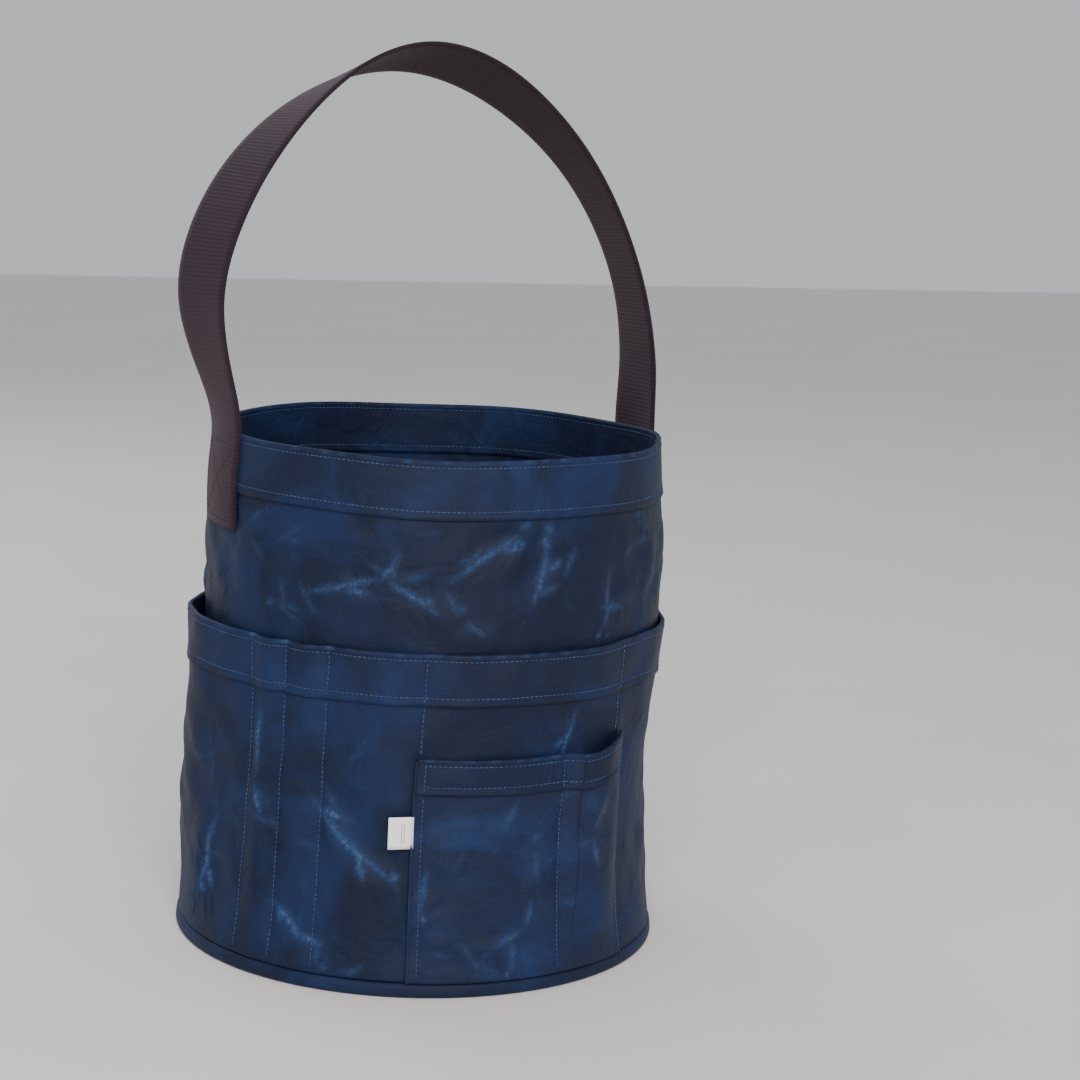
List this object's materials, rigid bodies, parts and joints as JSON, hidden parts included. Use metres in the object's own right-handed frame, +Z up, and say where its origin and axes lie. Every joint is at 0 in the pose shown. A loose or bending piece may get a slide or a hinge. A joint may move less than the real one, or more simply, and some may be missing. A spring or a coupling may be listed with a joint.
{
  "type": "bucket bag",
  "caption": "Round open bucket bag in waxed canvas with a ring of outside pockets, a patch pocket and a swinging webbing handle.",
  "frame": {"origin": "centre of the base, on the surface that the bag stands on", "axes": "+Z up out of the mouth; the front with the patch pocket faces -Y; the handle is sewn on at +X and -X"},
  "size_m": [0.2944, 0.2967, 0.5238],
  "materials": {
    "canvas_panel": "waxed canvas, low sheen with pale crease marks",
    "canvas_band": "waxed canvas, folded and stitched",
    "canvas_base": "waxed canvas, dull",
    "base_board": "plain board",
    "webbing": "ribbed cotton webbing, dull",
    "blue_thread": "sewing thread",
    "dark_thread": "sewing thread",
    "woven_label": "woven tape"
  },
  "bodies": {
    "bag": {"base_panel": "canvas_base", "base_stiffener": "base_board", "base_lining": "canvas_base", "base_seam_binding": "canvas_band", "wall_panel": "canvas_panel", "back_seam_tape": "canvas_band", "rim_binding": "canvas_band", "pocket_panel": "canvas_panel", "pocket_binding": "canvas_band", "patch_pocket_panel": "canvas_panel", "patch_pocket_binding": "canvas_band", "handle_end_left": "webbing", "handle_end_right": "webbing", "handle_stitch_left": "dark_thread", "handle_stitch_right": "dark_thread", "rim_stitch_upper": "blue_thread", "rim_stitch_lower": "blue_thread", "pocket_stitch_upper": "blue_thread", "pocket_stitch_lower": "blue_thread", "patch_stitch_upper": "blue_thread", "patch_stitch_lower": "blue_thread", "patch_seam_left": "blue_thread", "patch_seam_middle": "blue_thread", "patch_seam_right": "blue_thread", "divider_stitch_1": "blue_thread", "divider_stitch_2": "blue_thread", "divider_stitch_3": "blue_thread", "divider_stitch_4": "blue_thread", "divider_stitch_5": "blue_thread", "divider_stitch_6": "blue_thread", "divider_stitch_7": "blue_thread", "divider_stitch_8": "blue_thread", "divider_stitch_9": "blue_thread"},
    "handle": {"handle_webbing": "webbing"},
    "label": {"side_label": "woven_label"}
  },
  "joints": [
    {"name": "handle_swing", "type": "hinge", "parent": "bag", "child": "handle", "pos_m": [0, 0, 0.338], "axis": [1, 0, 0], "range_deg": [-100, 100]},
    {"name": "label_flap", "type": "hinge", "parent": "bag", "child": "label", "pos_m": [-0.05692, -0.12524, 0.093], "axis": [0, 0, 1], "range_deg": [0, 70]}
  ]
}
